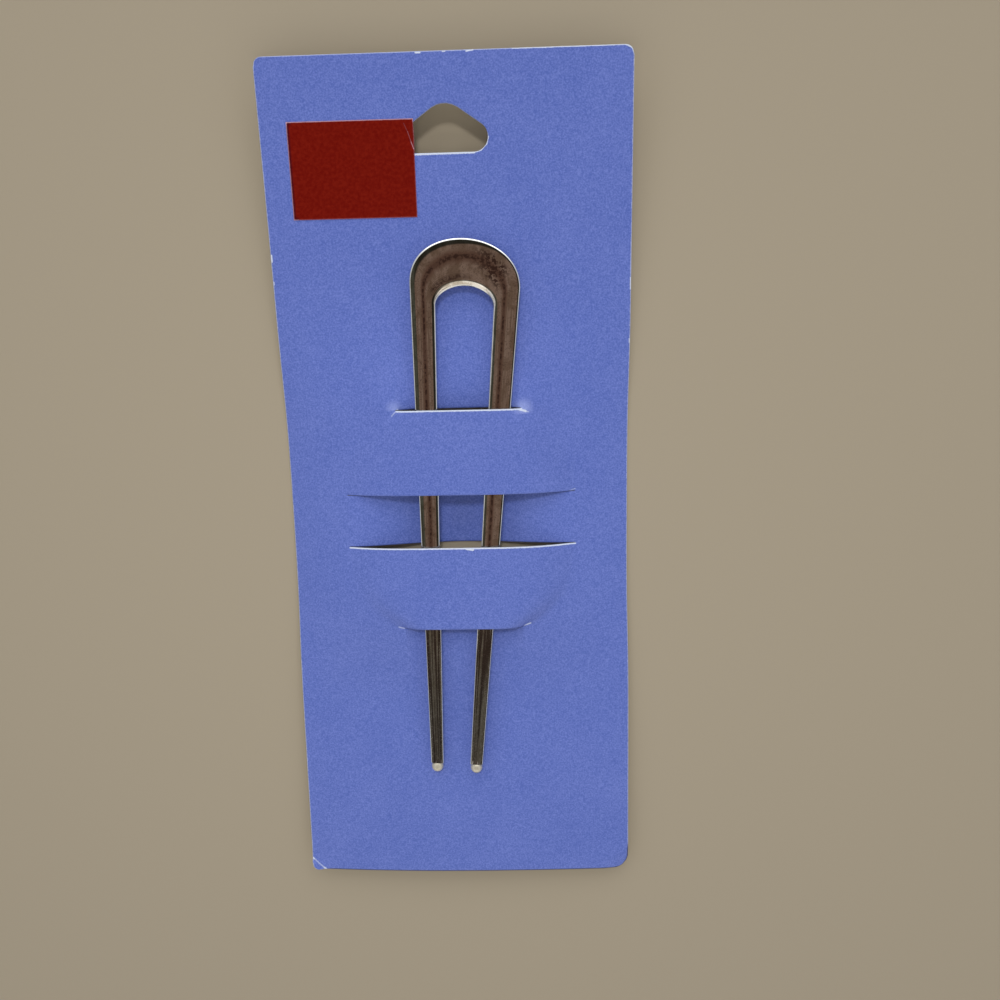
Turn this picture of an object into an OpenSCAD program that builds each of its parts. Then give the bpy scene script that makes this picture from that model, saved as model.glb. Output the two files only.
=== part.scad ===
// A u-shaped metal hairpin woven through the four slits of a bowed paperboard display card.
// The card lies on its back: x runs across it, y up it, z out of its face.
// Heights along the card are measured from its lower edge and named "up".

/* [Card] */
// Width of the card
card_w = 76.2; // [72:0.1:84]
// Height of the card
card_h = 182.3; // [178:0.1:194]
// Thickness of the paperboard
card_t = 0.45; // [0.3:0.05:0.6]
// Radius of the card's four corners
corner_r = 1.8; // [1:0.1:4]

/* [Bow of the card] */
// Height up the card where the bow is deepest
bow_up = 100; // [98:1:108]
// Slope that the part above rises to
rise_above = 0.102; // [0.03:0.001:0.104]
// Slope that the part below rises to
rise_below = 0.034; // [0.01:0.001:0.04]
// Length over which the bow turns from one slope to the other
bend_l = 30; // [20:1:50]
// Height of the arch across the card at the lower edge
edge_arch = 1.2; // [0:0.1:1.4]
// Extra height of that arch between the slits
slit_arch = 4.6; // [4:0.1:4.7]
// Height up the card where the extra arch is highest
arch_up = 89; // [86:1:90]
// Reach of the extra arch, up and down the card
arch_l = 35; // [30:1:36]
// How far the arch leans to the left
arch_skew = 0.25; // [0.1:0.05:0.3]

/* [Slits] */
// Height up the card of the lowest slit
low_slit = 61.6; // [60:0.1:63]
// Height of the slit under the strip
strip_foot = 80.6; // [78:0.1:83]
// Height of the slit over the strip
strip_head = 92.3; // [90:0.1:95]
// Height of the topmost slit
top_slit = 111; // [110:0.1:112]
// Half the length of the topmost and lowest slits
short_half = 13.5; // [13.3:0.1:15]
// Half the length of the two slits beside the strip
long_half = 25.2; // [22:0.2:28]
// How far the slits lie to the right of the card's middle line
slit_shift = 0.8; // [0.5:0.1:1.5]
// Width of the cut
kerf = 0.3; // [0.2:0.05:0.5]
// Height of the two bands that cross in front of the pin
band_z = 6; // [5.95:0.05:7]
// Sag of the lips above the topmost slit and under the lowest one
lip_sag = 1.9; // [1.8:0.1:2.3]
// Height of the dimples pressed up at the ends of the topmost slit
dimple_h = 0.8; // [0.6:0.1:1]

/* [Hang hole] */
// Distance from the top of the card to the hole's flat lower edge
hole_drop = 18.9; // [17:0.1:22]
// Height of the hole at its peak
hole_h = 9.3; // [8.5:0.1:10]
// Half the width of the hole
hole_half = 8.9; // [8:0.1:10]
// Radius of the hole's two ends
hole_end_r = 2.9; // [2.5:0.1:3]
// Radius of the hole's peak
peak_r = 2.4; // [1.5:0.1:3]

/* [Hairpin] */
// Length of the pin
pin_l = 120.2; // [114:0.1:126]
// Width of the pin's head
head_w = 23.2; // [20:0.1:24]
// Rise of the head's outer curve
head_rise = 9.8; // [8:0.1:12]
// How square the head's shoulders are: 1 is an ellipse, less is squarer
head_power = 0.87; // [0.6:0.01:1]
// How far the top of the head lies to the left
head_shift = 0.7; // [0:0.1:1.5]
// Width of the gap under the arch
gap_w = 12.3; // [11:0.1:14]
// Rise of the arch over the gap
arch_rise = 4.2; // [3:0.1:6]
// Thickness of the crown, from the arch to the top of the head
crown_w = 9.6; // [7:0.1:12]
// Width of a leg at its tip
tip_w = 2.8; // [2:0.05:3.5]
// Width of the gap between the tips
tip_gap = 6.3; // [4:0.1:8]
// Thickness of the bar
pin_t = 1.8; // [1.4:0.1:1.9]
// Diameter of the round tips
ball_d = 2.7; // [2:0.1:2.8]
// Height of the bar's middle plane
pin_z = 4.72; // [4.7:0.01:4.8]
// Height up the card of the tips
tips_up = 26.3; // [23:0.1:29]
// Sideways place of the tips' middle
tips_x = -2.1; // [-3:0.05:-1.8]
// Lean of the pin to the right
pin_lean = 2.7; // [2.3:0.1:2.9]

/* [Label] */
// Width of the label
label_w = 26; // [20:0.5:26]
// Height of the label
label_h = 19; // [14:0.5:20]
// Thickness of the label
label_t = 0.12; // [0.08:0.01:0.2]
// Sideways place of the label's middle
label_x = -19.4; // [-22:0.1:-19]
// Height up the card of the label's middle
label_up = 160.5; // [155:0.1:165]
// Gap between the label and the card
label_gap = 0.04; // [0.02:0.01:0.1]

/* [Hidden] */

card_colour = [0.40, 0.46, 0.78];
metal_colour = [0.72, 0.70, 0.67];
label_colour = [0.55, 0.07, 0.04];

half_w = card_w / 2;
// Width of the zone in which the side columns follow the rounded corners
corner_zone = 3 * corner_r;
dimple_r = 5;
// Distance over which a lip's sag dies out
lip_l = 10;
// How square the bands, the strip and the lips are seen along the card: 2 is a parabola
long_edge = 3;
short_edge = 8;
strip_edge = 2;
lip_edge = 7;
// How softly they leave the ends of their slits: 1 is a sharp fold
soft_end = 1.5;
// How far a band keeps the long slit's width before it narrows to the short one: 1 is evenly
hold = 3;

function blend(a, b, f) = a + (b - a) * f;
function signed_pow(x, p) = sign(x) * pow(abs(x), p);
function clamp01(x) = min(1, max(0, x));

// Cuts each span between neighbouring keys into its own number of equal cells
function spread(keys, cells) = concat(
    [for (k = [0:len(cells) - 1], c = [0:cells[k] - 1])
        blend(keys[k], keys[k + 1], c / cells[k])],
    [keys[len(keys) - 1]]);

// Height of the unslit sheet: a lengthwise bow, an arch across it and two dimples
function bow(up) =
    (up > bow_up ? rise_above : rise_below) * (sqrt(pow(bend_l, 2) + pow(up - bow_up, 2)) - bend_l);
function arch(up) = edge_arch * (1 - up / card_h)
    + slit_arch * exp(-pow((up - arch_up) / arch_l, 4));
// An arched sheet is narrower seen from above: half its width at one height up the card
function reach(up) = half_w - 4 / 3 * pow(arch(up), 2) / card_w;
function dimple(x, up, at_x) =
    dimple_h * exp(-(pow(x - at_x, 2) + pow(up - top_slit, 2)) / pow(dimple_r, 2));
function sheet(x, up) =
    let (u = x / reach(up))
        bow(up) + arch(up) * (1 - pow(u, 2)) * (1 - arch_skew * u)
            + dimple(x, up, slit_shift - short_half) + dimple(x, up, slit_shift + short_half);

// Place across a slit, from -1 at its left end to 1 at its right end
function across(x, half) = (x - slit_shift) / half;
function bulge(s, edge) = abs(s) >= 1 ? 0 : pow(1 - pow(abs(s), edge), soft_end);

// The bands in front of the pin: f is 0 at the long slit and 1 at the short one
function band(x, up, f) =
    let (g = pow(f, hold), s = across(x, blend(long_half, short_half, g)))
        blend(sheet(x, up), band_z, bulge(s, blend(long_edge, short_edge, g)));
// The strip behind the pin sags to the height that the card lies on
function strip(x, up) = blend(sheet(x, up), 0, bulge(across(x, long_half), strip_edge));
// The lips behind the pin sag a little, most at the slit itself
function lip(x, up, away) =
    sheet(x, up) - lip_sag * bulge(across(x, short_half), lip_edge) * exp(-away / lip_l);

function back_z(x, up) =
    up > top_slit ? lip(x, up, up - top_slit)
    : up > strip_head ? band(x, up, (up - strip_head) / (top_slit - strip_head))
    : up > strip_foot ? strip(x, up)
    : up > low_slit ? band(x, up, (strip_foot - up) / (strip_foot - low_slit))
    : lip(x, up, low_slit - up);

// Hang hole: three circles in one outline, given as its roof and its foot over x
hole_foot = card_h - hole_drop;
hole_mid = hole_foot + hole_end_r;
ends_x = hole_half - hole_end_r;
peak_up = hole_foot + hole_h - peak_r;
slant = atan2(peak_up - hole_mid, ends_x)
    - asin((hole_end_r - peak_r) / norm([ends_x, peak_up - hole_mid]));
// Half the height of the hole's blunt left and right ends
nose = 0.6;
// Distance below the hole over which its rows straighten out
hole_fade = 12;
function circle_up(x, r) = sqrt(max(0, pow(r, 2) - pow(x, 2)));
function hole_roof(x) =
    abs(x) < peak_r * sin(slant) ? peak_up + circle_up(x, peak_r)
    : abs(x) < ends_x + hole_end_r * sin(slant)
        ? peak_up + peak_r / cos(slant) - abs(x) * tan(slant)
    : max(hole_mid + nose, hole_mid + circle_up(abs(x) - ends_x, hole_end_r));
function hole_floor(x) =
    abs(x) < ends_x ? hole_foot
    : min(hole_mid - nose, hole_mid - circle_up(abs(x) - ends_x, hole_end_r));

// Rows near the hole are drawn apart so that two of them follow its outline
function opened(x, up) = abs(x) > hole_half ? up
    : up > hole_mid
        ? up + (hole_roof(x) - hole_mid - nose) * clamp01((card_h - up) / (card_h - hole_mid - nose))
        : up + (hole_floor(x) - hole_mid + nose) * clamp01(1 - (hole_mid - nose - up) / hole_fade);

// Columns near the sides follow the narrowing of the arch and the rounded corners
function side_half(up) = reach(up) - corner_r
    + circle_up(corner_r - min(corner_r, up, card_h - up), corner_r);
function rounded(x, up) = abs(x) < half_w - corner_zone ? x
    : sign(x) * blend(half_w - corner_zone, side_half(up), (abs(x) - half_w + corner_zone) / corner_zone);

left_long = slit_shift - long_half;
left_short = slit_shift - short_half;
right_short = slit_shift + short_half;
right_long = slit_shift + long_half;
columns = spread([-half_w, -half_w + corner_zone, left_long, left_short, -hole_half, hole_half,
                  right_short, right_long, half_w - corner_zone, half_w], [2, 3, 5, 3, 8, 4, 5, 2, 2]);
rows = spread([0, corner_r / 4, corner_r, low_slit - kerf / 2, low_slit + kerf / 2,
               strip_foot - kerf / 2, strip_foot + kerf / 2, strip_head - kerf / 2, strip_head + kerf / 2,
               top_slit - kerf / 2, top_slit + kerf / 2, hole_mid - nose, hole_mid + nose,
               card_h - corner_r, card_h - corner_r / 4, card_h],
              [1, 1, 11, 1, 4, 1, 3, 1, 4, 1, 11, 1, 3, 1, 1]);

function within(x, low, high) = x > low && x < high;
function cell_open(c, r) =
    let (x = (columns[c] + columns[c + 1]) / 2, up = (rows[r] + rows[r + 1]) / 2)
        (abs(up - top_slit) < kerf / 2 && within(x, left_short, right_short))
        || (abs(up - low_slit) < kerf / 2 && within(x, left_short, right_short))
        || (abs(up - strip_head) < kerf / 2 && within(x, left_long, right_long))
        || (abs(up - strip_foot) < kerf / 2 && within(x, left_long, right_long))
        || (abs(up - hole_mid) < nose && within(x, -hole_half, hole_half));
last_col = len(columns) - 2;
last_row = len(rows) - 2;
function filled(c, r) = c >= 0 && c <= last_col && r >= 0 && r <= last_row && !cell_open(c, r);

// The sheet's points lie in two layers, back first, each row by row
layer = len(columns) * len(rows);
function point_at(c, r, front) = (front ? layer : 0) + r * len(columns) + c;
function quad(a, b, c, d) = [[a, b, c], [a, c, d]];
function face(c, r, front) = front
    ? quad(point_at(c, r, true), point_at(c, r + 1, true),
           point_at(c + 1, r + 1, true), point_at(c + 1, r, true))
    : quad(point_at(c, r, false), point_at(c + 1, r, false),
           point_at(c + 1, r + 1, false), point_at(c, r + 1, false));
// A wall stands on the side from corner a to corner b, which runs clockwise seen from the front
function wall(ca, ra, cb, rb) = quad(point_at(ca, ra, false), point_at(cb, rb, false),
                                     point_at(cb, rb, true), point_at(ca, ra, true));
function walls(c, r) = concat(
    filled(c - 1, r) ? [] : wall(c, r, c, r + 1),
    filled(c, r + 1) ? [] : wall(c, r + 1, c + 1, r + 1),
    filled(c + 1, r) ? [] : wall(c + 1, r + 1, c + 1, r),
    filled(c, r - 1) ? [] : wall(c + 1, r, c, r));

module backing_card() {
    points = [for (lift = [0, card_t], up = rows, x = columns)
        let (px = rounded(x, up), pu = opened(x, up)) [px, pu - card_h / 2, back_z(px, pu) + lift]];
    faces = [for (r = [0:last_row], c = [0:last_col]) if (filled(c, r))
        each concat(face(c, r, false), face(c, r, true), walls(c, r))];
    color(card_colour) polyhedron(points, faces, convexity = 8);
}

// The hairpin in its own plane: y from the tips to the crown, x across
outer_y = pin_l - head_rise;
inner_y = pin_l - crown_w - arch_rise;
leg_rings = 11;
arch_rings = 16;
ball_rings = 4;
side_points = 16;
// Part of the ball that shows past the leg, in degrees from its far end
ball_from = 20;
ball_to = 125;
// How square the bar's section is on its face and on its back: 1 is an ellipse, 0 a box
face_power = 0.72;
back_power = 0.4;

function outer_x(f) = blend(tip_gap / 2 + tip_w, head_w / 2, f);
function inner_x(f) = blend(tip_gap / 2, gap_w / 2, f);
// A ring is [inner point, outer point, thickness, whether it belongs to the bar]
function leg_ring(f) = [[inner_x(f), blend(ball_d, inner_y, f)], [outer_x(f), blend(ball_d, outer_y, f)],
                        pin_t, true];
function arch_ring(a) = [[gap_w / 2 * cos(a), inner_y + arch_rise * sin(a)],
                         [head_w / 2 * cos(a) - head_shift * sin(a),
                          outer_y + head_rise * pow(sin(a), head_power)], pin_t, true];
function ball_ring(a) =
    let (x = (inner_x(0) + outer_x(0)) / 2, r = ball_d / 2, y = r - r * cos(a))
        [[x - r * sin(a), y], [x + r * sin(a), y], ball_d * sin(a), false];
function mirrored(ring) = [[-ring[0][0], ring[0][1]], [-ring[1][0], ring[1][1]], ring[2], ring[3]];

half_rings = concat(
    [for (k = [0:ball_rings]) ball_ring(blend(ball_from, ball_to, k / ball_rings))],
    [for (k = [0:leg_rings - 1]) leg_ring(k / leg_rings)]);
rings = concat(half_rings, [for (k = [0:arch_rings]) arch_ring(180 * k / arch_rings)],
               [for (k = [len(half_rings) - 1:-1:0]) mirrored(half_rings[k])]);

// Section: a ball is round, the bar has a domed face and a flatter back
function ring_points(ring) = [for (k = [0:side_points - 1])
    let (a = 360 * (k + 0.5) / side_points,
         power = !ring[3] ? 1 : sin(a) > 0 ? face_power : back_power,
         place = blend(ring[0], ring[1], (1 - signed_pow(cos(a), power)) / 2))
    [place[0], place[1], signed_pow(sin(a), power) * ring[2] / 2]];

module hairpin() {
    points = [for (ring = rings) each ring_points(ring)];
    last = len(rings) - 1;
    sides = [for (r = [0:last - 1], k = [0:side_points - 1])
        let (a = r * side_points + k, b = r * side_points + (k + 1) % side_points)
            each quad(a, a + side_points, b + side_points, b)];
    start_cap = [for (k = [0:side_points - 1]) k];
    end_cap = [for (k = [side_points - 1:-1:0]) last * side_points + k];
    color(metal_colour)
        translate([tips_x, tips_up - card_h / 2, pin_z]) rotate(-pin_lean)
            polyhedron(points, concat([start_cap], sides, [end_cap]), convexity = 4);
}

// The label is a thin sheet laid on the card's face
label_cols = 8;
label_rows = 6;

module label_sticker() {
    across_n = label_cols + 1;
    points = [for (lift = [0, label_t], r = [0:label_rows], c = [0:label_cols])
        let (x = label_x + label_w * (c / label_cols - 0.5),
             up = label_up + label_h * (r / label_rows - 0.5))
            [x, up - card_h / 2, back_z(x, up) + card_t + label_gap + lift]];
    top = across_n * (label_rows + 1);
    sheets = [for (r = [0:label_rows - 1], c = [0:label_cols - 1])
        let (a = r * across_n + c, b = a + 1, d = a + across_n)
            each concat(quad(a, b, d + 1, d), quad(top + a, top + d, top + d + 1, top + b))];
    ends = [for (r = [0:label_rows - 1]) let (a = r * across_n, b = a + label_cols)
        each concat(quad(a, a + across_n, top + a + across_n, top + a),
                    quad(b + across_n, b, top + b, top + b + across_n))];
    rims = [for (c = [0:label_cols - 1]) let (a = c, b = label_rows * across_n + c)
        each concat(quad(a + 1, a, top + a, top + a + 1), quad(b, b + 1, top + b + 1, top + b))];
    color(label_colour) polyhedron(points, concat(sheets, ends, rims));
}

backing_card();
hairpin();
label_sticker();
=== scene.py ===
from math import asin, atan2, ceil, cos, exp, hypot, pi, radians, sin, sqrt, tan

import bpy
from mathutils import Matrix, Vector
from mathutils.kdtree import KDTree


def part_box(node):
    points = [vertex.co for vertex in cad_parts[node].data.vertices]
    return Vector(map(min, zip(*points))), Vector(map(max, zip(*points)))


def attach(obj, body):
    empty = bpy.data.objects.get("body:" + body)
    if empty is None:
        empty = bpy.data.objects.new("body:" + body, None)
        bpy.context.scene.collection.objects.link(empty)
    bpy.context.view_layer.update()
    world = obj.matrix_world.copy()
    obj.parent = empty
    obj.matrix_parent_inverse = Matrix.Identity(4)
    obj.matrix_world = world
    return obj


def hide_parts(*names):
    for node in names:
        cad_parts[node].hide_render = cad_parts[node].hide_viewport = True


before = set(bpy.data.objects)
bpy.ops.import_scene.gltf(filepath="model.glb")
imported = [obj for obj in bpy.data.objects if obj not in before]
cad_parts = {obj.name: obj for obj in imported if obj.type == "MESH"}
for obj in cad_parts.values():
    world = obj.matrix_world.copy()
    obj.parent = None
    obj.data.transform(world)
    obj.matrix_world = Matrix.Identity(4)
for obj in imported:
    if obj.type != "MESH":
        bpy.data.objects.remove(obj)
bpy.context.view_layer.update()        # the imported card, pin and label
print("frame loaded:", sorted(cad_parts))


# Shader maths: a Wire is a node's output that Python's own operators work on
class Wire:
    def __init__(self, bench, socket):
        self.bench, self.socket = bench, socket

    def maths(self, operation, *values):
        return self.bench.node("ShaderNodeMath", {"operation": operation}, dict(enumerate(values)))

    def __add__(self, other):
        return self.maths("ADD", self, other)

    def __radd__(self, other):
        return self.maths("ADD", other, self)

    def __sub__(self, other):
        return self.maths("SUBTRACT", self, other)

    def __rsub__(self, other):
        return self.maths("SUBTRACT", other, self)

    def __mul__(self, other):
        return self.maths("MULTIPLY", self, other)

    def __rmul__(self, other):
        return self.maths("MULTIPLY", other, self)

    def __truediv__(self, other):
        return self.maths("DIVIDE", self, other)

    def __pow__(self, other):
        return self.maths("POWER", self, other)

    def __neg__(self):
        return self.maths("MULTIPLY", self, -1.0)

    def atLeast(self, other):
        return self.maths("MAXIMUM", self, other)

    def atMost(self, other):
        return self.maths("MINIMUM", self, other)

    def size(self):
        return self.maths("ABSOLUTE", self)

    def fraction(self):
        return self.maths("FRACT", self)

    def steps(self, low, high):
        # 0 below low, 1 above high, smooth between; low may be the greater one
        if low > high:
            return 1 - self.steps(high, low)
        settings = {"interpolation_type": "SMOOTHSTEP"}
        sockets = {"Value": self, "From Min": low, "From Max": high}
        return self.bench.node("ShaderNodeMapRange", settings, sockets)


class Bench:
    # One node tree; every node but the maths above comes from its node method
    def __init__(self, tree):
        self.tree = tree
        tree.nodes.clear()

    def node(self, kind, settings=None, inputs=None, out=0):
        made = self.tree.nodes.new(kind)
        for key, value in (settings or {}).items():
            if key == "stops":
                while len(made.color_ramp.elements) < len(value):
                    made.color_ramp.elements.new(1.0)
                for stop, (place, colour) in zip(made.color_ramp.elements, value):
                    stop.position, stop.color = place, colour
            else:
                setattr(made, key, value)
        for key, value in (inputs or {}).items():
            if isinstance(value, Wire):
                self.tree.links.new(value.socket, made.inputs[key])
            else:
                made.inputs[key].default_value = value
        if isinstance(out, (list, tuple)):
            return [Wire(self, made.outputs[name]) for name in out]
        return Wire(self, made.outputs[out]) if len(made.outputs) else made

    def place(self):
        return self.node("ShaderNodeTexCoord", out="Object")

    def split(self, vector):
        return self.node("ShaderNodeSeparateXYZ", None, {0: vector}, out=("X", "Y", "Z"))

    def stretch(self, vector, factors):
        return self.node("ShaderNodeVectorMath", {"operation": "MULTIPLY"}, {0: vector, 1: factors})

    def grain(self, vector, scale, detail=3.0, rough=0.55, warp=0.0):
        sockets = {"Vector": vector, "Scale": scale, "Detail": detail}
        sockets.update({"Roughness": rough, "Distortion": warp})
        return self.node("ShaderNodeTexNoise", {"noise_dimensions": "3D"}, sockets, out="Fac")

    def attribute(self, name):
        return self.node("ShaderNodeAttribute", {"attribute_name": name}, out="Fac")

    def blend(self, factor, first, second, mode="MIX"):
        settings = {"data_type": "RGBA", "blend_type": mode}
        return self.node("ShaderNodeMix", settings, {0: factor, 6: first, 7: second}, out=2)

    def bump(self, height, depth, normal=None):
        # depth is how far the surface rises, in metres, as height goes from 0 to 1
        sockets = {"Strength": 1.0, "Distance": depth, "Height": height}
        if normal:
            sockets["Normal"] = normal
        return self.node("ShaderNodeBump", None, sockets, out="Normal")

    def finishWith(self, sockets):
        surface = self.node("ShaderNodeBsdfPrincipled", None, sockets)
        self.node("ShaderNodeOutputMaterial", None, {"Surface": surface})


def newMaterial(name):
    material = bpy.data.materials.new(name)
    material.use_nodes = True
    return material, Bench(material.node_tree)


def opaque(red, green, blue):
    return (red, green, blue, 1.0)


def between(a, b, f):
    return a + (b - a) * f


# Camera: the photograph's own place and angle, from a fit to the card's four edges
camera = {
    "spot": (0.016485, 0.037611, 0.19641),
    "aim": (0.009261, -0.001213, 0.0),
    "roll": -1.333,          # degrees
    "lens": 32.06,           # mm
    "sensor": 36.0,          # mm
    "nearest": 0.005, "furthest": 20.0,
}


def makeCamera():
    data = bpy.data.cameras.new("camera")
    data.lens, data.sensor_width = camera["lens"], camera["sensor"]
    data.clip_start, data.clip_end = camera["nearest"], camera["furthest"]
    eye = bpy.data.objects.new("camera", data)
    bpy.context.scene.collection.objects.link(eye)
    back = (Vector(camera["spot"]) - Vector(camera["aim"])).normalized()
    right = Vector((0, 1, 0)).cross(back).normalized()
    turned = Matrix((right, back.cross(right), back)).transposed()
    turned = turned @ Matrix.Rotation(radians(camera["roll"]), 3, "Z")
    eye.matrix_world = Matrix.Translation(camera["spot"]) @ turned.to_4x4()
    bpy.context.scene.camera = eye


makeCamera()
print("camera ready")


# Card: lengths in metres, "up" is the height up the card from its lower edge
cardLow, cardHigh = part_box("backing_card")
card = {
    "halfWide": (cardHigh.x - cardLow.x) / 2,
    "tall": cardHigh.y - cardLow.y,
    "thick": 0.00045,
    "cornerRadius": {"lowLeft": 0.0018, "lowRight": 0.0034, "topLeft": 0.0018, "topRight": 0.0018},
    "cornerZone": 0.0054,        # the columns this near a side follow its corners
    # The bow along the card: where it is deepest, its two slopes and the length of the turn between them
    "bowUp": 0.100, "riseAbove": 0.102, "riseBelow": 0.034, "bendLong": 0.030,
    # The arch across the card: at the lower edge, and the extra between the slits
    "edgeArch": 0.0012, "slitArch": 0.0046, "archUp": 0.089, "archReach": 0.035, "archSkew": 0.25,
    "lowSlit": 0.0616, "stripFoot": 0.0806, "stripHead": 0.0923, "topSlit": 0.111,
    "shortHalf": 0.0135, "longHalf": 0.0252, "slitShift": 0.0008, "kerf": 0.00015,
    "bandHeight": 0.006, "lipSag": 0.0019, "lipLong": 0.010,
    "dimpleHigh": 0.0008, "dimpleRadius": 0.005,
    # How square the bands, the strip and the lips are seen along the card, and how soft at their ends
    "longEdge": 3.0, "shortEdge": 8.0, "stripEdge": 2.0, "lipEdge": 7.0, "softEnd": 1.5, "hold": 3.0,
    "holeDrop": 0.0189, "holeHigh": 0.0093, "holeHalf": 0.0087, "holeEnd": 0.0029, "holePeak": 0.005,
    "holeNose": 0.0002, "holeFade": 0.012,
    "edgeDrop": 0.00012, "edgeWide": 0.0003,         # how far the sheet is pressed in along a cut
    # The grid: its cells, the finer steps beside a cut and the columns at each round end of the hole
    "coarse": 0.0011, "fine": (0.00008, 0.0002, 0.0004, 0.0008), "endSteps": 10,
    "sharp": 40,        # degrees
}
# Each slit: its height up the card, its left end and its right end
card["slits"] = [(card[name], card["slitShift"] - card[half], card["slitShift"] + card[half])
                 for name, half in (("lowSlit", "shortHalf"), ("stripFoot", "longHalf"),
                                    ("stripHead", "longHalf"), ("topSlit", "shortHalf"))]
card["holeFoot"] = card["tall"] - card["holeDrop"]
card["holeMid"] = card["holeFoot"] + card["holeEnd"]
card["holeEndsX"] = card["holeHalf"] - card["holeEnd"]
card["peakUp"] = card["holeFoot"] + card["holeHigh"] - card["holePeak"]
card["slant"] = atan2(card["peakUp"] - card["holeMid"], card["holeEndsX"]) - asin(
    (card["holeEnd"] - card["holePeak"]) / hypot(card["holeEndsX"], card["peakUp"] - card["holeMid"]))


def archHeight(up):
    c = card
    extra = c["slitArch"] * exp(-((up - c["archUp"]) / c["archReach"]) ** 4)
    return c["edgeArch"] * (1 - up / c["tall"]) + extra


def reach(up):
    # Half the card's width seen from above: arched, it is narrower
    return card["halfWide"] - 2 / 3 * archHeight(up) ** 2 / card["halfWide"]


def plainSheet(x, up):
    c = card
    rise = c["riseAbove"] if up > c["bowUp"] else c["riseBelow"]
    bow = rise * (hypot(c["bendLong"], up - c["bowUp"]) - c["bendLong"])
    u = x / reach(up)
    arch = archHeight(up) * (1 - u * u) * (1 - c["archSkew"] * u)
    dimples = 0.0
    for dimpleX in (c["slitShift"] - c["shortHalf"], c["slitShift"] + c["shortHalf"]):
        away = ((x - dimpleX) ** 2 + (up - c["topSlit"]) ** 2) / c["dimpleRadius"] ** 2
        dimples += c["dimpleHigh"] * exp(-away)
    return bow + arch + dimples


def bulge(x, half, edge):
    s = abs(x - card["slitShift"]) / half
    return 0.0 if s >= 1 else (1 - s ** edge) ** card["softEnd"]


def backHeight(x, up):
    c = card
    sheet = plainSheet(x, up)
    if up > c["topSlit"] or up < c["lowSlit"]:       # lips behind the pin
        away = up - c["topSlit"] if up > c["topSlit"] else c["lowSlit"] - up
        return sheet - c["lipSag"] * bulge(x, c["shortHalf"], c["lipEdge"]) * exp(-away / c["lipLong"])
    if c["stripFoot"] < up < c["stripHead"]:         # strip behind the pin
        return sheet * (1 - bulge(x, c["longHalf"], c["stripEdge"]))
    if up >= c["stripHead"]:                         # bands in front of it
        f = (up - c["stripHead"]) / (c["topSlit"] - c["stripHead"])
    else:
        f = (c["stripFoot"] - up) / (c["stripFoot"] - c["lowSlit"])
    f = f ** c["hold"]
    lift = bulge(x, between(c["longHalf"], c["shortHalf"], f), between(c["longEdge"], c["shortEdge"], f))
    return between(sheet, c["bandHeight"], lift)


def circleHeight(x, radius):
    return sqrt(max(0.0, radius * radius - x * x))


def holeRoof(x):
    c = card
    if x < c["holePeak"] * sin(c["slant"]):
        return c["peakUp"] + circleHeight(x, c["holePeak"])
    if x < c["holeEndsX"] + c["holeEnd"] * sin(c["slant"]):
        return c["peakUp"] + c["holePeak"] / cos(c["slant"]) - x * tan(c["slant"])
    return c["holeMid"] + max(c["holeNose"], circleHeight(x - c["holeEndsX"], c["holeEnd"]))


def holeFloor(x):
    if x < card["holeEndsX"]:
        return card["holeFoot"]
    return card["holeMid"] - max(card["holeNose"], circleHeight(x - card["holeEndsX"], card["holeEnd"]))


def gridPlaces(keys):
    # Rows or columns between keys, which are (place, whether a cut runs there)
    fine, coarse = card["fine"], card["coarse"]
    places = [keys[0][0]]
    for (start, startCut), (end, endCut) in zip(keys, keys[1:]):
        span = end - start
        low = [start + step for step in fine if startCut and step < span / 2]
        high = [end - step for step in reversed(fine) if endCut and step < span / 2]
        first = low[-1] if low else start
        last = high[0] if high else end
        count = ceil((last - first) / coarse - 1e-6)       # a whole number of cells isn't rounded up
        middle = [between(first, last, k / count) for k in range(1, count)]
        places += low + middle + high + [end]
    return places


def openedRow(x, up):
    # Rows near the hole are drawn apart so that two of them follow its outline
    c = card
    x = abs(x)
    if x > c["holeHalf"]:
        return up
    if up > c["holeMid"]:
        start = c["holeMid"] + c["holeNose"]
        return up + (holeRoof(x) - start) * min(1.0, (c["tall"] - up) / (c["tall"] - start))
    start = c["holeMid"] - c["holeNose"]
    return up + (holeFloor(x) - start) * max(0.0, 1 - (start - up) / c["holeFade"])


def roundedColumn(x, up):
    # Columns near the sides follow the arch's narrowing and the rounded corners
    inner = card["halfWide"] - card["cornerZone"]
    if abs(x) < inner:
        return x
    corner = ("low" if up < card["tall"] / 2 else "top") + ("Left" if x < 0 else "Right")
    radius = card["cornerRadius"][corner]
    side = reach(up) - radius + circleHeight(radius - min(radius, up, card["tall"] - up), radius)
    return between(inner, side, (abs(x) - inner) / card["cornerZone"]) * (1 if x > 0 else -1)


# Corners that have been bent: where the bend starts, measured along both edges, and its slope
bentCorners = {
    "lowLeft": {"side": -1, "start": 0.0033, "slope": 0.45},
    "lowRight": {"side": 1, "start": 0.0060, "slope": -0.16},
}


def bentBy(x, up):
    lift = 0.0
    for corner in bentCorners.values():
        past = corner["start"] - (card["halfWide"] - x * corner["side"]) - up
        lift += corner["slope"] * max(0.0, past) / sqrt(2)
    return lift


def cardColumns():
    c = card
    (_, leftShort, rightShort), (_, leftLong, rightLong) = c["slits"][:2]
    keys = [(-c["halfWide"], True), (leftLong, True), (leftShort, True)]
    for side in (-1, 1):       # columns crowd together towards the hole's round ends
        for k in range(c["endSteps"] + 1):
            turn = k / c["endSteps"] if side > 0 else 1 - k / c["endSteps"]
            keys.append((side * (c["holeEndsX"] + c["holeEnd"] * sin(turn * pi / 2)), False))
    return gridPlaces(keys + [(rightShort, True), (rightLong, True), (c["halfWide"], True)])


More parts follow.
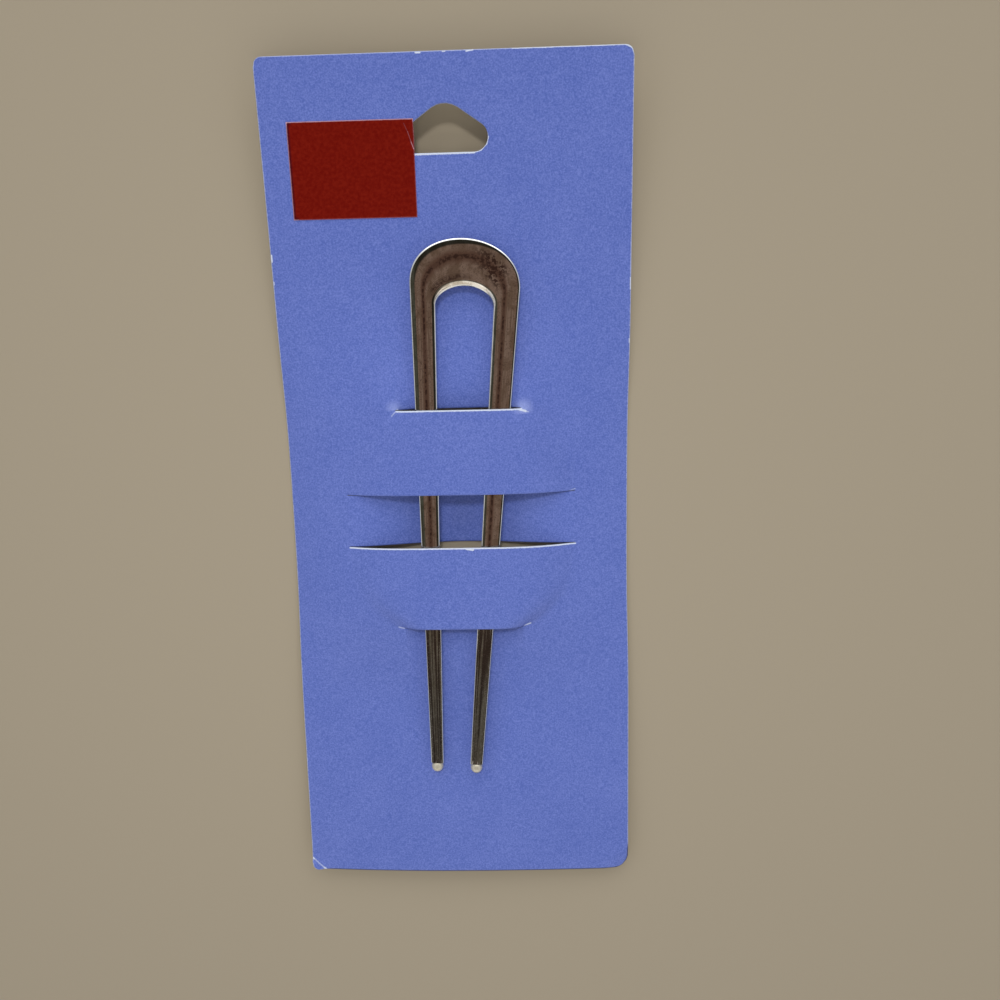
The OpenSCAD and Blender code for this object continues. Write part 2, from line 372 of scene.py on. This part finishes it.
def cardRows():
    c = card
    kerf = c["kerf"] / 2
    keys = [(0.0, True)]
    for slit, _, _ in c["slits"]:
        keys += [(slit - kerf, True), (slit + kerf, True)]
    keys += [(c["holeMid"] - c["holeNose"], True), (c["holeMid"] + c["holeNose"], True)]
    return gridPlaces(keys + [(c["tall"], True)])


def isCutAway(x, up):
    c = card
    if abs(up - c["holeMid"]) < c["holeNose"] and abs(x) < c["holeHalf"]:
        return True
    return any(abs(up - slit) < c["kerf"] / 2 and left < x < right for slit, left, right in c["slits"])


def rimGap(metres):
    # Millimetres from the nearest open edge, no more than the materials have a use for
    return min(2.0, metres * 1000)


def pressEdges(points, rims):
    # The sheet is pressed thinner along every cut; rims says of each point on one whether it is a slit's
    c = card
    allRims, openRims = KDTree(len(rims)), KDTree(len(rims))
    for index, inSlit in rims.items():
        allRims.insert(points[index], index)
        if not inSlit:
            openRims.insert(points[index], index)
    allRims.balance()
    openRims.balance()
    front, gaps = [], []
    for point in points:
        drop = c["edgeDrop"] * max(0.0, 1 - allRims.find(point)[2] / c["edgeWide"]) ** 2
        front.append(point + Vector((0, 0, c["thick"] - drop)))
        gaps.append(rimGap(openRims.find(point)[2]))
    return front, gaps


def addPiece(name, node, points, faces, kinds, sharp, marks):
    # Smooth faces, creased where they turn by more than sharp degrees; kinds gives each face's material
    mesh = bpy.data.meshes.new(name)
    mesh.from_pydata(points, [], faces)
    mesh.polygons.foreach_set("material_index", kinds)
    mesh.polygons.foreach_set("use_smooth", [True] * len(faces))
    mesh.set_sharp_from_angle(angle=radians(sharp))
    for mark, values in marks.items():
        mesh.attributes.new(mark, "FLOAT", "POINT").data.foreach_set("value", values)
    piece = bpy.data.objects.new(name, mesh)
    bpy.context.scene.collection.objects.link(piece)
    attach(piece, "root")
    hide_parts(node)
    return piece


def makeCard():
    c = card
    columns, rows = cardColumns(), cardRows()

    def isInside(col, row):
        return 0 <= col < len(columns) - 1 and 0 <= row < len(rows) - 1

    def isFilled(col, row):
        return isInside(col, row) and not isCutAway(
            (columns[col] + columns[col + 1]) / 2, (rows[row] + rows[row + 1]) / 2)

    def isSlit(col, row):
        return isInside(col, row) and abs(rows[row] - c["holeMid"]) >= 2 * c["holeNose"]

    points = []
    for up in rows:
        for x in columns:
            px, pu = roundedColumn(x, up), openedRow(x, up)
            points.append(Vector((px, pu - c["tall"] / 2, backHeight(px, pu) + bentBy(px, pu))))
    wide, layer = len(columns), len(points)
    faces, kinds, rims = [], [], {}       # kinds: 0 is the printed face, 1 a cut edge, 2 the back
    for row in range(len(rows) - 1):
        for col in range(wide - 1):
            if not isFilled(col, row):
                continue
            a = row * wide + col
            b, d, e = a + 1, a + wide, a + wide + 1
            faces += [(a, d, e, b), (layer + a, layer + b, layer + e, layer + d)]
            kinds += [2, 0]
            sides = [(col - 1, row, a, d), (col, row + 1, d, e), (col + 1, row, e, b), (col, row - 1, b, a)]
            for nextCol, nextRow, start, end in sides:
                if isFilled(nextCol, nextRow):
                    continue
                faces.append((start, layer + start, layer + end, end))
                kinds.append(1)
                for corner in (start, end):
                    rims[corner] = rims.get(corner, False) or isSlit(nextCol, nextRow)
    front, gaps = pressEdges(points, rims)
    used = sorted({index for face in faces for index in face})
    number = {old: new for new, old in enumerate(used)}
    both = points + front
    return addPiece("display_card", "backing_card", [both[index] for index in used],
                    [[number[index] for index in face] for face in faces], kinds, c["sharp"],
                    {"rimGap": [gaps[index % layer] for index in used]})


cardPiece = makeCard()
print("card made:", len(cardPiece.data.polygons), "faces")


# Pin: a bar bent in a u, lofted ring by ring from one ball tip to the other
pin = {
    "long": 0.1202, "headWide": 0.0232, "headRise": 0.0098, "headPower": 0.87, "headShift": 0.0007,
    "gapWide": 0.0123, "archRise": 0.0042, "crown": 0.0096, "tipWide": 0.0028, "tipGap": 0.0063,
    "thick": 0.0018, "ball": 0.0027, "height": 0.00472, "tipsUp": 0.0263, "tipsX": -0.0021, "lean": 2.7,
    "ballFrom": 4.0, "ballTo": 135.0, "legFrom": 0.00235,
    "legRings": 90, "archRings": 96, "ballRings": 14,
    "faceSteps": 44, "backRadius": 0.0004, "backSteps": 5,
    # How the face falls off towards its edges, in bar widths: over what width, how far; and how suddenly
    "legInner": (0.16, 0.037, 1.3), "archInner": (0.13, 0.083, 1.6),
    "legOuter": (0.22, 0.036, 1.3), "crownOuter": (0.140, 0.0235, 1.2),
    "rim": (0.045, 0.009, 2.0),
    "rightRim": 0.45, "rightTurn": 1.5,       # the right leg's outer slope is this much narrower
    "dome": 0.00005,
    "sharp": 50,        # degrees
    # Where the dull streak runs: 0 at the bar's inner edge, 1 at its outer one
    "streakLeft": 0.47, "streakTop": 0.62, "streakRight": 0.40,
}


def pinRings():
    # Each ring: inner point, outer point, how much it belongs to the arch (0 on the legs), its ball's size
    p = pin
    innerTop, outerTop = p["long"] - p["crown"] - p["archRise"], p["long"] - p["headRise"]
    tipIn, tipOut = p["tipGap"] / 2, p["tipGap"] / 2 + p["tipWide"]
    radius = p["ball"] / 2
    half = []
    for k in range(p["ballRings"] + 1):
        angle = radians(between(p["ballFrom"], p["ballTo"], k / p["ballRings"]))
        x, y, reach = (tipIn + tipOut) / 2, radius - radius * cos(angle), radius * sin(angle)
        half.append(((x - reach, y), (x + reach, y), 0.0, 2 * reach))
    for k in range(p["legRings"]):
        f = k / p["legRings"]
        half.append(((between(tipIn, p["gapWide"] / 2, f), between(p["legFrom"], innerTop, f)),
                     (between(tipOut, p["headWide"] / 2, f), between(p["legFrom"], outerTop, f)), 0.0, 0.0))
    around = []
    for k in range(p["archRings"] + 1):
        angle = pi * k / p["archRings"]
        rise = max(0.0, sin(angle))
        around.append(((p["gapWide"] / 2 * cos(angle), innerTop + p["archRise"] * rise),
                       (p["headWide"] / 2 * cos(angle) - p["headShift"] * rise,
                        outerTop + p["headRise"] * rise ** p["headPower"]), rise, 0.0))
    mirrored = [((-a[0], a[1]), (-b[0], b[1]), arch, ball) for a, b, arch, ball in reversed(half)]
    return half + around + mirrored


def barSection(width, arch, side):
    # (distance from the inner edge, height) all the way round the bar, starting at the inner edge
    p = pin
    steps = p["faceSteps"]
    narrow = between(1.0, p["rightRim"], min(1.0, max(0.0, p["rightTurn"] * side)))

    def fall(kind, gap, share=1.0):
        wide, deep, power = p[kind]
        return share * deep * width * max(0.0, 1 - gap / (share * wide * width)) ** power

    section = []
    for k in range(steps + 1):
        u = width * (0.5 - 0.5 * cos(pi * k / steps))
        z = p["thick"] / 2 - between(fall("legInner", u), fall("archInner", u), arch)
        z -= between(fall("legOuter", width - u, narrow), fall("crownOuter", width - u, narrow), arch)
        z -= fall("rim", width - u) + fall("rim", u) * (1 - arch)
        z -= p["dome"] * (2 * u / width - 1) ** 2
        section.append((u, z))
    radius = p["backRadius"]
    for start in (width, 0.0):      # the two round edges of the back
        inward = -1 if start else 1
        turns = range(p["backSteps"] + 1) if start else range(p["backSteps"], -1, -1)
        for k in turns:
            angle = pi / 2 * k / p["backSteps"]
            u, z = start + inward * radius * (1 - cos(angle)), radius * (1 - sin(angle)) - p["thick"] / 2
            section.append((u, z))
    return section


def makePin():
    p = pin
    place = (Matrix.Translation((p["tipsX"], p["tipsUp"] - card["tall"] / 2, p["height"]))
             @ Matrix.Rotation(radians(-p["lean"]), 4, "Z"))
    points, faces, across, along, streak, tip = [], [], [], [], [], []
    rings = pinRings()
    for inner, outer, arch, ball in rings:
        inner, outer = Vector((*inner, 0)), Vector((*outer, 0))
        width = (outer - inner).length
        side = (inner.x + outer.x) / p["headWide"]
        section = barSection(width, arch, side)
        leg = between(p["streakLeft"], p["streakRight"], min(1.0, max(0.0, 0.5 + 0.5 * side)))
        centre = between(leg, p["streakTop"], arch)
        for k, (u, z) in enumerate(section):
            if ball:       # round tip: the same number of points on a circle
                turn = pi - 2 * pi * k / len(section)
                u, z = width / 2 * (1 + cos(turn)), ball / 2 * sin(turn)
            points.append(place @ (inner.lerp(outer, u / width) + Vector((0, 0, z))))
            across.append(u / width)
            along.append(arch)
            streak.append((u / width - centre) * width * 1000)
            tip.append(1.0 if ball else 0.0)
    size = len(points) // len(rings)
    for r in range(len(rings) - 1):
        for k in range(size):
            a, b = r * size + k, r * size + (k + 1) % size
            faces.append((a, b, b + size, a + size))
    last = (len(rings) - 1) * size
    faces += [list(range(size))[::-1], [last + k for k in range(size)]]
    marks = {"across": across, "arch": along, "streak": streak, "tip": tip}
    return addPiece("hair_pin", "hairpin", points, faces, [0] * len(faces), p["sharp"], marks)


pinPiece = makePin()
print("pin made:", len(pinPiece.data.polygons), "faces")


# Label: a thin sheet on the card's face, creased where it hangs over the hole
label = {
    "wide": 0.026, "tall": 0.019, "thick": 0.00012, "x": -0.0194, "up": 0.1605,
    "gap": 0.00004, "tilt": -0.1,
    "columns": 80, "rows": 60, "sharp": 40,
    "crease": 0.0007, "dip": 0.28,       # how far inside the hole it starts to dip, and how steeply
}


def makeLabel():
    sticker = label
    columns, rows = sticker["columns"], sticker["rows"]
    turn = Matrix.Rotation(radians(sticker["tilt"]), 2)
    points, rim = [], []
    for lift in (0.0, sticker["thick"]):
        for row in range(rows + 1):
            for col in range(columns + 1):
                across, rise = col / columns - 0.5, row / rows - 0.5
                flat = turn @ Vector((across * sticker["wide"], rise * sticker["tall"]))
                x, up = flat + Vector((sticker["x"], sticker["up"]))
                overHole = hypot(max(0.0, -x - card["holeEndsX"]), up - card["holeMid"]) - card["holeEnd"]
                dip = sticker["dip"] * max(0.0, -overHole - sticker["crease"])
                z = backHeight(x, up) + card["thick"] + sticker["gap"] + lift - dip
                points.append((x, up - card["tall"] / 2, z))
                toSide, toEnd = (0.5 - abs(across)) * sticker["wide"], (0.5 - abs(rise)) * sticker["tall"]
                rim.append(rimGap(min(toSide, toEnd)))
    wide = columns + 1
    layer = wide * (rows + 1)
    faces, kinds = [], []       # kinds: 0 is the label's face, 1 its edge and its back
    for row in range(rows):
        for col in range(columns):
            a = row * wide + col
            b, d, e = a + 1, a + wide, a + wide + 1
            faces += [(a, d, e, b), (layer + a, layer + b, layer + e, layer + d)]
            kinds += [1, 0]
    loop = [(col, 0) for col in range(columns)] + [(columns, row) for row in range(rows)]
    loop += [(col, rows) for col in range(columns, 0, -1)] + [(0, row) for row in range(rows, 0, -1)]
    ring = [row * wide + col for col, row in loop]
    for start, end in zip(ring, ring[1:] + ring[:1]):
        faces.append((start, end, layer + end, layer + start))
        kinds.append(1)
    return addPiece("bare_label", "label_sticker", points, faces, kinds, sticker["sharp"],
                    {"rimGap": rim})


labelPiece = makeLabel()
print("label made:", len(labelPiece.data.polygons), "faces")


# Finishes: each noise is its scale, detail, roughness and warp
inkLook = {
    "ink": opaque(0.096, 0.154, 0.538),
    "inkPale": opaque(0.184, 0.251, 0.700),
    "paledInk": opaque(0.38, 0.46, 0.90),
    # painted shadow along the lower edge
    "paintedFootShadow": opaque(0.030, 0.034, 0.075),
    # the cut walls' white core, painted grey as painted shade on the walls
    "core": opaque(0.50, 0.52, 0.60),
    # white of the worn core, also used as a painted highlight on edges facing the light
    "wornAndLit": opaque(0.72, 0.80, 0.98),
    "back": opaque(0.62, 0.61, 0.58),
    "rough": 0.52, "rimWearAndLight": 0.55,
    "fibres": (1900.0, 4.0, 0.6, 0.6), "fibreDepth": 0.000018,
    "clouds": (90.0, 3.0, 0.5), "cloudDepth": 0.00004,
    "speckle": (1100.0, 2.0, 0.6),
    "mottle": (3000.0, 2.0, 0.6),
    "ragged": (2600.0, 3.0, 0.65),
    "boardFibres": (2300.0, 4.0, 0.65), "boardDepth": 0.00003,
}


def strokeMask(bench, x, up, start, end, wide, ragged):
    # 1 within a line between two places on the card, 0 outside; ragged is a noise from 0 to 1
    run = Vector(end) - Vector(start)
    slide = ((x - start[0]) * run.x + (up - start[1]) * run.y) / run.length_squared
    slide = slide.atLeast(0.0).atMost(1.0)
    dx, dy = x - (slide * run.x + start[0]), up - (slide * run.y + start[1])
    away = (dx * dx + dy * dy) ** 0.5
    return (away + (ragged - 0.5) * wide * 1.2).steps(wide, wide * 0.45)


# Places where the card's white core shows, partly wear and partly a painted highlight on cut edges facing
# the light: (start), (end), half the width, strength
wornAndLitLines = [
    ((-0.0122, 0.11080), (0.0145, 0.11080), 0.00023, 1.0),       # upper edge of the upper band
    ((-0.0122, 0.1111), (-0.0124, 0.1109), 0.00026, 1.0),
    ((-0.0124, 0.1109), (-0.0134, 0.1099), 0.00018, 0.40),
    ((0.0136, 0.1109), (0.0154, 0.1103), 0.00030, 1.0),
    ((0.0154, 0.1103), (0.0160, 0.1101), 0.00014, 0.5),
    ((-0.0244, 0.08040), (0.0260, 0.08040), 0.00019, 1.0),       # upper edge of the lower band
    ((0.0018, 0.08035), (0.0033, 0.0801), 0.00030, 1.0),
    ((0.0250, 0.0925), (0.0260, 0.0928), 0.00012, 0.4),
    ((0.0144, 0.0619), (0.0157, 0.0623), 0.00022, 0.8),
    ((-0.0141, 0.0619), (-0.0129, 0.0616), 0.00018, 0.5),
    ((-0.0381, 0.18225), (0.0140, 0.18225), 0.00016, 0.50),      # along the top
    ((0.0140, 0.18225), (0.0365, 0.18225), 0.00020, 1.0),
    ((0.0365, 0.18220), (0.0377, 0.1816), 0.00020, 1.0),
    ((0.0377, 0.1816), (0.0381, 0.1805), 0.00018, 0.9),
    ((0.0381, 0.1795), (0.0381, 0.1787), 0.00018, 0.9),
    ((-0.0053, 0.1820), (-0.0044, 0.1820), 0.00018, 1.0),
    ((0.0001, 0.1821), (0.0006, 0.1821), 0.00016, 0.9),
    ((0.0048, 0.1820), (0.0062, 0.1822), 0.00018, 1.0),
    ((-0.0379, 0.1441), (-0.0379, 0.1428), 0.00022, 1.0),        # left side
    ((-0.0379, 0.1386), (-0.0379, 0.1381), 0.00016, 0.8),
    ((0.0380, 0.1378), (0.0380, 0.1354), 0.00018, 0.9),          # right side
    ((0.0380, 0.1450), (0.0380, 0.1386), 0.00012, 0.5),
    ((0.0379, 0.1251), (0.0379, 0.1243), 0.00016, 0.8),
    ((-0.0379, 0.0029), (-0.0351, 0.0002), 0.00020, 0.45),       # crease of the bent corner
    ((-0.0379, 0.0029), (-0.0377, 0.0026), 0.00022, 1.0),
    ((-0.0353, 0.0004), (-0.0349, 0.0001), 0.00026, 0.8),
    ((-0.0045, 0.0001), (-0.0039, 0.0001), 0.00018, 0.6),
    ((-0.0064, 0.16319), (0.0058, 0.16325), 0.00026, 1.0),       # foot and right end of the hole
    ((0.0058, 0.1633), (0.0073, 0.1637), 0.00020, 0.9),
    ((0.0073, 0.1637), (0.0084, 0.1648), 0.00018, 0.9),
    ((0.0084, 0.1648), (0.0088, 0.1662), 0.00017, 0.9),
]

# Places around the upper slit's ends where the ink is paler: middle, reach, strength, lowest height
paleInkSpots = [
    ((-0.0130, 0.1114), 0.0024, 0.50, 0.1110),
    ((0.0149, 0.1110), 0.0028, 0.70, 0.1098),
]


def inkMaterial():
    look = inkLook
    material, bench = newMaterial("card_ink")
    spot = bench.place()
    x, y, _ = bench.split(spot)
    up = y + card["tall"] / 2
    fibres = bench.grain(bench.stretch(spot, (1.0, 2.2, 1.0)), *look["fibres"])
    names = ("speckle", "mottle", "clouds", "ragged")
    speckle, mottle, clouds, ragged = [bench.grain(spot, *look[name]) for name in names]
    tone = (speckle - 0.5) * 0.8 + (mottle - 0.5) * 2.6 + (clouds - 0.5) * 0.4 + 0.45
    ink = bench.blend(tone.atLeast(0.0).atMost(1.0), look["ink"], look["inkPale"])
    for middle, span, strength, foot in paleInkSpots:
        dx, dy = x - middle[0], up - middle[1]
        spread = ((dx * dx + dy * dy) ** 0.5 / span).steps(1.0, 0.0)
        spread = spread * up.steps(foot - 0.0002, foot + 0.0002) * (ragged * 1.6 + 0.2).atMost(1.5)
        ink = bench.blend(spread * strength, ink, look["paledInk"])
    # Open edges are painted white, partly worn core and partly a painted highlight; the hole's roof, which
    # faces away from the light, gets hardly any
    wornAndLit = (bench.attribute("rimGap") + (ragged - 0.5) * 0.5).steps(0.22, 0.02) * look["rimWearAndLight"]
    roof = up.steps(0.1668, 0.1676) * up.steps(0.1750, 0.1740) * x.size().steps(0.0100, 0.0092)
    wornAndLit = wornAndLit * (1 - roof * 0.85)
    for start, end, wide, strength in wornAndLitLines:
        wornAndLit = wornAndLit.atLeast(strokeMask(bench, x, up, start, end, wide, ragged) * strength)
    # The lower edge, which the card stands on, gets a painted shadow instead of white wear
    paintedFootShadow = bench.attribute("rimGap").steps(0.34, 0.16)
    paintedFootShadow = paintedFootShadow * up.steps(0.0070, 0.0045) * x.steps(-0.0360, -0.0340)
    wornAndLit = wornAndLit * (1 - paintedFootShadow)
    colour = bench.blend(paintedFootShadow * 0.8, bench.blend(wornAndLit, ink, look["wornAndLit"]), look["paintedFootShadow"])
    normal = bench.bump(clouds, look["cloudDepth"], bench.bump(fibres, look["fibreDepth"]))
    rough = look["rough"] + (speckle - 0.5) * 0.12 + wornAndLit * 0.25
    bench.finishWith({"Base Color": colour, "Roughness": rough,
                      "Specular IOR Level": 0.35, "Normal": normal})
    return material


def boardMaterial(name, colour, dark):
    # Bare paperboard: its fibres are darker than the rest by the factor dark
    material, bench = newMaterial(name)
    fibres = bench.grain(bench.stretch(bench.place(), (1.0, 1.6, 5.0)), *inkLook["boardFibres"])
    shade = opaque(*(part * dark for part in colour[:3]))
    colour = bench.blend(fibres.steps(0.3, 0.75), colour, shade)
    bench.finishWith({"Base Color": colour, "Roughness": 0.9, "Specular IOR Level": 0.2,
                      "Normal": bench.bump(fibres, inkLook["boardDepth"])})
    return material


for material in (inkMaterial(), boardMaterial("paper_core", inkLook["core"], 0.8),
                 boardMaterial("board_back", inkLook["back"], 0.9)):
    cardPiece.data.materials.append(material)
print("card finished")


metalLook = {
    "metal": opaque(0.86, 0.82, 0.77),
    "film": opaque(0.52, 0.46, 0.38),
    "rust": opaque(0.44, 0.33, 0.28),
    "dull": opaque(0.16, 0.11, 0.10),
    "tip": opaque(0.70, 0.66, 0.54),
    # painted highlight for the bar's edges
    "bright": opaque(0.86, 0.90, 0.95),
    "dim": opaque(0.10, 0.12, 0.14),
    "rough": 0.045,
    "waves": (420.0, 2.0, 0.5), "waveDepth": 0.00002,
    "grit": (2400.0, 3.0, 0.6), "gritDepth": 0.0000008,
    "dots": (1700.0, 3.0, 0.6),
    "specks": (3100.0, 2.0, 0.6),
    "smudges": (330.0, 4.0, 0.6, 0.8),
    "drawn": (8.0, 3.0, 0.55), "bands": (2.4, 2.0, 0.5),       # in lanes along the legs
}


def metalMaterial():
    look = metalLook
    material, bench = newMaterial("polished_plating")
    spot = bench.place()
    x, y, _ = bench.split(spot)
    across, arch = bench.attribute("across"), bench.attribute("arch")
    streak, tip = bench.attribute("streak"), bench.attribute("tip")
    waves = bench.grain(bench.stretch(spot, (1.0, 0.25, 1.0)), *look["waves"])
    smudges = bench.grain(bench.stretch(spot, (1.0, 0.6, 1.0)), *look["smudges"])
    grit, dots, specks = [bench.grain(spot, *look[name]) for name in ("grit", "dots", "specks")]
    # Lanes run along the legs, with another pattern on each leg
    laneSockets = {0: across * 3.0, 1: y * 9.0, 2: x.steps(-0.004, 0.0) * 7.0}
    lane = bench.node("ShaderNodeCombineXYZ", None, laneSockets)
    drawn, bands = bench.grain(lane, *look["drawn"]), bench.grain(lane, *look["bands"])
    low = y.steps(-0.005, -0.035)        # the lower legs, where fine stripes take the streak's place

    # A dull streak runs along the bar, dark in a soft brown halo, and breaks up into dots around the arch
    away = (streak + (smudges - 0.5) * (0.2 + arch * 1.6)).size()
    halo = (away / (0.95 + arch * 1.1)).steps(1.0, 0.25) * (1 - low * 0.8)
    core = (away / (0.42 + arch * 0.42)).steps(1.0, 0.3) * (1 - low * 0.6)
    core = core * (dots.steps(0.46, 0.53) * 0.7 + 0.3)
    shoulder = arch.steps(0.25, 0.6) * x.steps(0.003, 0.009)
    speckled = (away / 3.0).steps(1.0, 0.6) * shoulder * dots.steps(0.47, 0.53)
    # A finer line follows it around the arch's left half, near the gap
    second = ((across - 0.2).size() * 10.0).steps(1.0, 0.2) * (dots.steps(0.45, 0.55) * 0.6 + 0.3)
    second = second * arch.steps(0.15, 0.5) * x.steps(0.006, 0.001)
    # Fine arcs crowd together beside the gap at the arch's left foot
    ripple = ((across * 26.0 + smudges * 2.5).fraction() - 0.5).size().steps(0.2, 0.05)
    ripple = ripple * across.steps(0.42, 0.2) * arch.steps(0.05, 0.3) * x.steps(0.004, -0.003)
    marks = core.atLeast(speckled).atLeast(second).atLeast(ripple * 0.9)
    marks = marks.atLeast(bands.steps(0.49, 0.53) * low).atLeast(specks.steps(0.54, 0.64) * 0.35)

    smear = smudges.steps(0.42, 0.60)
    lines = arch.steps(0.2, 0.0) * drawn.steps(0.46, 0.62)
    colour = bench.blend((smear * 0.8).atLeast(lines * 0.9), look["metal"], look["film"])
    colour = bench.blend(halo * 0.9, colour, look["rust"])
    colour = bench.blend(marks * 0.95, colour, look["dull"])
    colour = bench.blend(y.steps(-0.030, -0.055) * 0.40, colour, look["dim"])       # towards the tips
    # Painted highlight: the bar's edges get a brighter, silvery colour than its face
    colour = bench.blend((across - 0.5).size().steps(0.455, 0.485) * 0.7, colour, look["bright"])
    colour = bench.blend(tip, colour, look["tip"])
    scuffed = grit.steps(0.53, 0.60) * low
    rough = look["rough"] + smear * 0.03 + marks * 0.06 + tip * 0.36 + scuffed * 0.18
    normal = bench.bump(waves, look["waveDepth"], bench.bump(grit, look["gritDepth"]))
    bench.finishWith({"Base Color": colour, "Metallic": 1.0 - tip * 0.5,
                      "Roughness": rough, "Normal": normal})
    return material


pinPiece.data.materials.append(metalMaterial())
print("pin finished")


labelLook = {
    "red": opaque(0.158, 0.0034, 0.0009),
    "redPale": opaque(0.212, 0.0092, 0.0028),
    "paper": opaque(0.72, 0.46, 0.58),
    "shade": opaque(0.035, 0.002, 0.010),
    "rough": 0.40,
    "speckle": (1500.0, 3.0, 0.6), "speckleDepth": 0.000008,
    "ragged": (2600.0, 3.0, 0.65),
    # Start, end and strength of each stretch of the crease over the hole, and half its width
    "creases": [((-0.0083, 0.1691), (-0.0076, 0.1675), 0.08), ((-0.0076, 0.1675), (-0.0070, 0.1656), 0.18),
                ((-0.0070, 0.1656), (-0.0065, 0.1642), 0.50)],
    "creaseWide": 0.00010,
}


def labelMaterial():
    look = labelLook
    material, bench = newMaterial("label_red")
    spot = bench.place()
    x, y, _ = bench.split(spot)
    up = y + card["tall"] / 2
    speckle, ragged = bench.grain(spot, *look["speckle"]), bench.grain(spot, *look["ragged"])
    red = bench.blend(speckle.steps(0.3, 0.75), look["red"], look["redPale"])
    # A painted shade along the left side, and a thin paper rim, partly a painted highlight, that shows most
    # at the left and the top
    edge = bench.attribute("rimGap")
    leftSide, topSide = x.steps(-0.0310, -0.0318), up.steps(0.1690, 0.1698)
    colour = bench.blend(edge.steps(0.80, 0.35) * leftSide * 0.6, red, look["shade"])
    rim = (edge + (ragged - 0.5) * 0.2).steps(0.24, 0.06)
    rim = rim * (0.12 + leftSide * 0.35 + topSide * 0.6).atMost(0.8)
    colour = bench.blend(rim, colour, look["paper"])
    for start, end, strength in look["creases"]:
        crease = strokeMask(bench, x, up, start, end, look["creaseWide"], ragged)
        colour = bench.blend(crease * strength, colour, look["paper"])
    rough = look["rough"] + (speckle - 0.5) * 0.1
    bench.finishWith({"Base Color": colour, "Roughness": rough, "Specular IOR Level": 0.15,
                      "Normal": bench.bump(speckle, look["speckleDepth"])})
    return material


labelPiece.data.materials.append(labelMaterial())
labelPiece.data.materials.append(boardMaterial("label_edge", labelLook["paper"], 0.9))
print("label finished")


# Studio: a plain pale floor, a soft lamp beyond the card's head, a faint one close above the card,
# and a room that lights the rest and is mirrored in the metal
studio = {
    "floor": opaque(0.42, 0.365, 0.28), "floorHalf": 3.0,
    "lamps": {
        "key": {"spot": (0.0, 1.0, 1.74), "size": (0.32, 0.32), "power": 11.5},
        "near": {"spot": (0.0, 0.0, 0.20), "size": (0.10, 0.10), "power": 0.057},
    },
    "lampColour": (1.0, 0.98, 0.95),
    # The room's colours from the horizon, 0, to straight overhead, 1
    "room": [
        (0.00, opaque(0.40, 0.39, 0.38)),
        (0.20, opaque(0.60, 0.59, 0.57)),
        (0.34, opaque(2.00, 1.98, 1.92)),
        (0.60, opaque(2.00, 1.98, 1.92)),
        (0.76, opaque(0.022, 0.024, 0.018)),
        (0.92, opaque(0.026, 0.024, 0.019)),
        (0.965, opaque(0.165, 0.114, 0.090)),
    ],
    "sideWalls": opaque(0.03, 0.05, 0.10),
    "leftCeiling": opaque(0.062, 0.064, 0.050),
    "frontCeiling": opaque(0.138, 0.126, 0.102),
    "frontWall": opaque(0.90, 0.86, 0.77),
    "roomPower": 1.0,
}


def makeFloor():
    half = studio["floorHalf"]
    mesh = bpy.data.meshes.new("floor")
    corners = [(-half, -half, 0), (half, -half, 0), (half, half, 0), (-half, half, 0)]
    mesh.from_pydata(corners, [], [(0, 1, 2, 3)])
    floor = bpy.data.objects.new("floor", mesh)
    bpy.context.scene.collection.objects.link(floor)
    material, bench = newMaterial("floor")
    bench.finishWith({"Base Color": studio["floor"], "Roughness": 0.8, "Specular IOR Level": 0.2})
    mesh.materials.append(material)


def makeLamps():
    for name, plan in studio["lamps"].items():
        light = bpy.data.lights.new(name, "AREA")
        light.shape = "RECTANGLE"
        light.size, light.size_y = plan["size"]
        light.energy, light.color = plan["power"], studio["lampColour"]
        lamp = bpy.data.objects.new(name, light)
        bpy.context.scene.collection.objects.link(lamp)
        lamp.location = plan["spot"]
        lamp.rotation_mode = "QUATERNION"
        lamp.rotation_quaternion = (-lamp.location).to_track_quat("-Z", "Y")
        lamp.visible_camera = False
        lamp.visible_glossy = False


def makeRoom():
    world = bpy.data.worlds.new("room")
    bpy.context.scene.world = world
    world.use_nodes = True
    bench = Bench(world.node_tree)
    x, y, z = bench.split(bench.node("ShaderNodeTexCoord", out="Generated"))
    room = bench.node("ShaderNodeValToRGB", {"stops": studio["room"]}, {0: z})
    # The pale walls are dimmer at both sides, and the dark ceiling is paler to the left and in front
    aside = x.size().steps(0.35, 0.75) * z.steps(0.80, 0.60)
    room = bench.blend(aside * 0.72, room, studio["sideWalls"])
    ceiling = z.steps(0.70, 0.76) * z.steps(0.965, 0.94)
    room = bench.blend((y * -0.5 - x).steps(0.30, 0.45) * ceiling, room, studio["leftCeiling"])
    room = bench.blend((-y).steps(0.22, 0.40) * ceiling, room, studio["frontCeiling"])
    room = bench.blend((-y).steps(0.50, 0.80), room, studio["frontWall"])
    background = bench.node("ShaderNodeBackground", None, {"Color": room, "Strength": studio["roomPower"]})
    bench.node("ShaderNodeOutputWorld", None, {"Surface": background})


makeFloor()
makeLamps()
makeRoom()
bpy.context.scene.view_settings.view_transform = "Standard"
print("studio ready")
